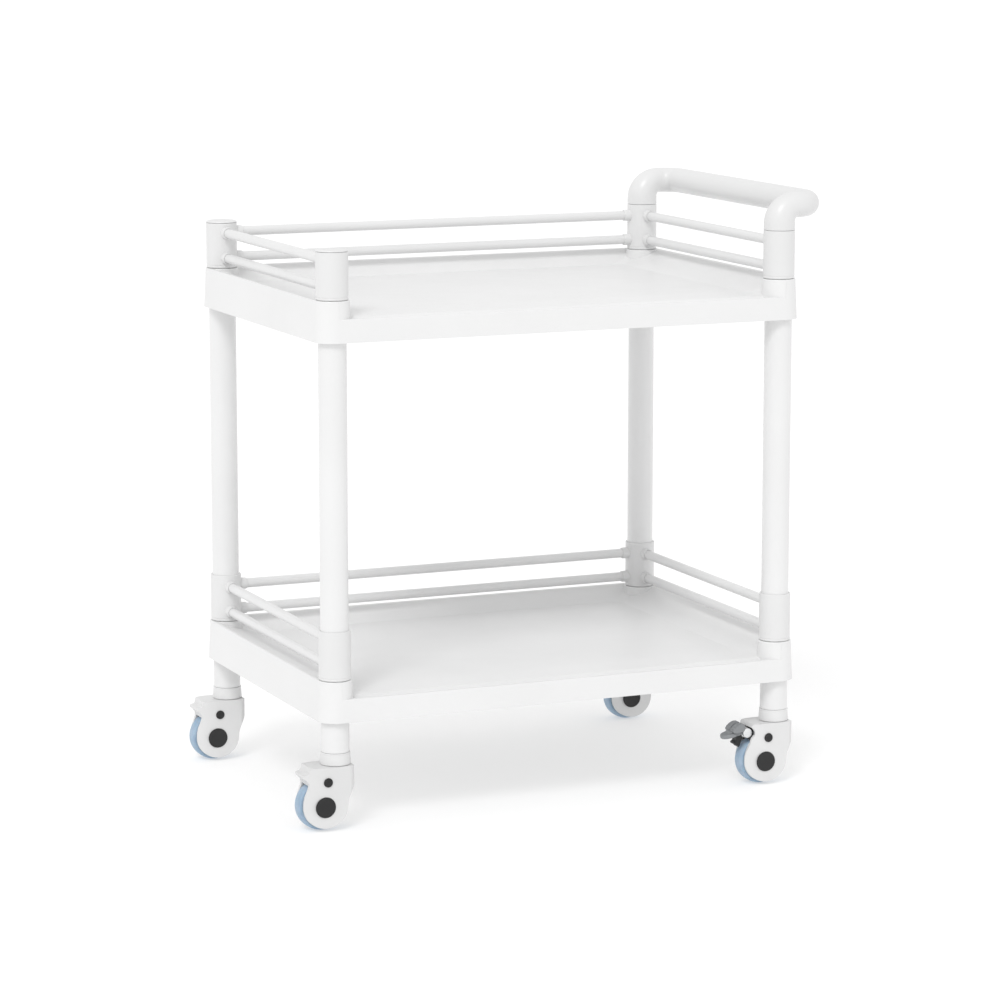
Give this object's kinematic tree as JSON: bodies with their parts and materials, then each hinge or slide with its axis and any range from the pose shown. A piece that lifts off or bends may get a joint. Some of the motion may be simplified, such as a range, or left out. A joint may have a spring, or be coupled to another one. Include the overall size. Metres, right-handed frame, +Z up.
{
  "type": "rolling salon trolley",
  "caption": "Open tiered service trolley on swivel casters, with tube posts, trays with guard rods and an open long side, and a push handle at one end.",
  "frame": {"origin": "on the floor, at the middle of the bounding box", "axes": "+Z up, +X towards the end with the push handle, -Y towards the long side with no guard rods"},
  "size_m": [0.867, 0.542, 0.918],
  "materials": {
    "tray_plastic": "satin moulded",
    "collar_plastic": "satin moulded",
    "tube_paint": "smooth white coating",
    "rod_paint": "smooth white coating",
    "handle_plastic": "satin moulded",
    "caster_plastic": "fine-grained moulded",
    "black_plastic": "satin",
    "pedal_plastic": "fine-grained moulded",
    "core_plastic": "moulded",
    "tyre_rubber": "smooth soft tread"
  },
  "bodies": {
    "frame": {"lower_tray": "tray_plastic", "upper_tray": "tray_plastic", "post_front_left": "tube_paint", "lower_collar_front_left": "collar_plastic", "upper_collar_front_left": "collar_plastic", "post_cap_front_left": "collar_plastic", "post_front_right": "tube_paint", "lower_collar_front_right": "collar_plastic", "upper_collar_front_right": "collar_plastic", "post_back_left": "tube_paint", "lower_collar_back_left": "collar_plastic", "upper_collar_back_left": "collar_plastic", "post_cap_back_left": "collar_plastic", "post_back_right": "tube_paint", "lower_collar_back_right": "collar_plastic", "upper_collar_back_right": "collar_plastic", "lower_rod_left_low": "rod_paint", "lower_rod_right_low": "rod_paint", "lower_rod_back_low": "rod_paint", "lower_rod_left_high": "rod_paint", "lower_rod_right_high": "rod_paint", "lower_rod_back_high": "rod_paint", "upper_rod_left_low": "rod_paint", "upper_rod_right_low": "rod_paint", "upper_rod_back_low": "rod_paint", "upper_rod_left_high": "rod_paint", "upper_rod_right_high": "rod_paint", "upper_rod_back_high": "rod_paint", "handle": "handle_plastic", "foot_socket_front_left": "collar_plastic", "foot_socket_front_right": "collar_plastic", "foot_socket_back_left": "collar_plastic", "foot_socket_back_right": "collar_plastic"},
    "caster_front_left": {"housing_front_left": "caster_plastic", "axle_front_left": "black_plastic", "button_back_front_left": "black_plastic", "button_front_front_left": "black_plastic"},
    "wheel_front_left": {"wheel_core_front_left": "core_plastic", "tyre_front_left": "tyre_rubber"},
    "caster_front_right": {"housing_front_right": "caster_plastic", "axle_front_right": "black_plastic", "button_back_front_right": "black_plastic", "button_front_front_right": "black_plastic"},
    "wheel_front_right": {"wheel_core_front_right": "core_plastic", "tyre_front_right": "tyre_rubber"},
    "pedal_front_right": {"brake_pedal_front_right": "pedal_plastic"},
    "caster_back_left": {"housing_back_left": "caster_plastic", "axle_back_left": "black_plastic", "button_back_back_left": "black_plastic", "button_front_back_left": "black_plastic"},
    "wheel_back_left": {"wheel_core_back_left": "core_plastic", "tyre_back_left": "tyre_rubber"},
    "caster_back_right": {"housing_back_right": "caster_plastic", "axle_back_right": "black_plastic", "button_back_back_right": "black_plastic", "button_front_back_right": "black_plastic"},
    "wheel_back_right": {"wheel_core_back_right": "core_plastic", "tyre_back_right": "tyre_rubber"},
    "pedal_back_right": {"brake_pedal_back_right": "pedal_plastic"}
  },
  "joints": [
    {"name": "swivel_front_left", "type": "hinge", "parent": "frame", "child": "caster_front_left", "pos_m": [-0.371, -0.2425, 0.0975], "axis": [0, 0, 1], "continuous": true},
    {"name": "roll_front_left", "type": "hinge", "parent": "caster_front_left", "child": "wheel_front_left", "pos_m": [-0.396, -0.2425, 0.0375], "axis": [0, 1, 0], "continuous": true},
    {"name": "swivel_front_right", "type": "hinge", "parent": "frame", "child": "caster_front_right", "pos_m": [0.357, -0.2425, 0.0975], "axis": [0, 0, 1], "continuous": true},
    {"name": "roll_front_right", "type": "hinge", "parent": "caster_front_right", "child": "wheel_front_right", "pos_m": [0.332, -0.2425, 0.0375], "axis": [0, 1, 0], "continuous": true},
    {"name": "brake_front_right", "type": "hinge", "parent": "caster_front_right", "child": "pedal_front_right", "pos_m": [0.308, -0.2425, 0.08], "axis": [0, -1, 0], "range_deg": [0, 12]},
    {"name": "swivel_back_left", "type": "hinge", "parent": "frame", "child": "caster_back_left", "pos_m": [-0.371, 0.2425, 0.0975], "axis": [0, 0, 1], "continuous": true},
    {"name": "roll_back_left", "type": "hinge", "parent": "caster_back_left", "child": "wheel_back_left", "pos_m": [-0.396, 0.2425, 0.0375], "axis": [0, 1, 0], "continuous": true},
    {"name": "swivel_back_right", "type": "hinge", "parent": "frame", "child": "caster_back_right", "pos_m": [0.357, 0.2425, 0.0975], "axis": [0, 0, 1], "continuous": true},
    {"name": "roll_back_right", "type": "hinge", "parent": "caster_back_right", "child": "wheel_back_right", "pos_m": [0.332, 0.2425, 0.0375], "axis": [0, 1, 0], "continuous": true},
    {"name": "brake_back_right", "type": "hinge", "parent": "caster_back_right", "child": "pedal_back_right", "pos_m": [0.308, 0.2425, 0.08], "axis": [0, -1, 0], "range_deg": [0, 12]}
  ]
}
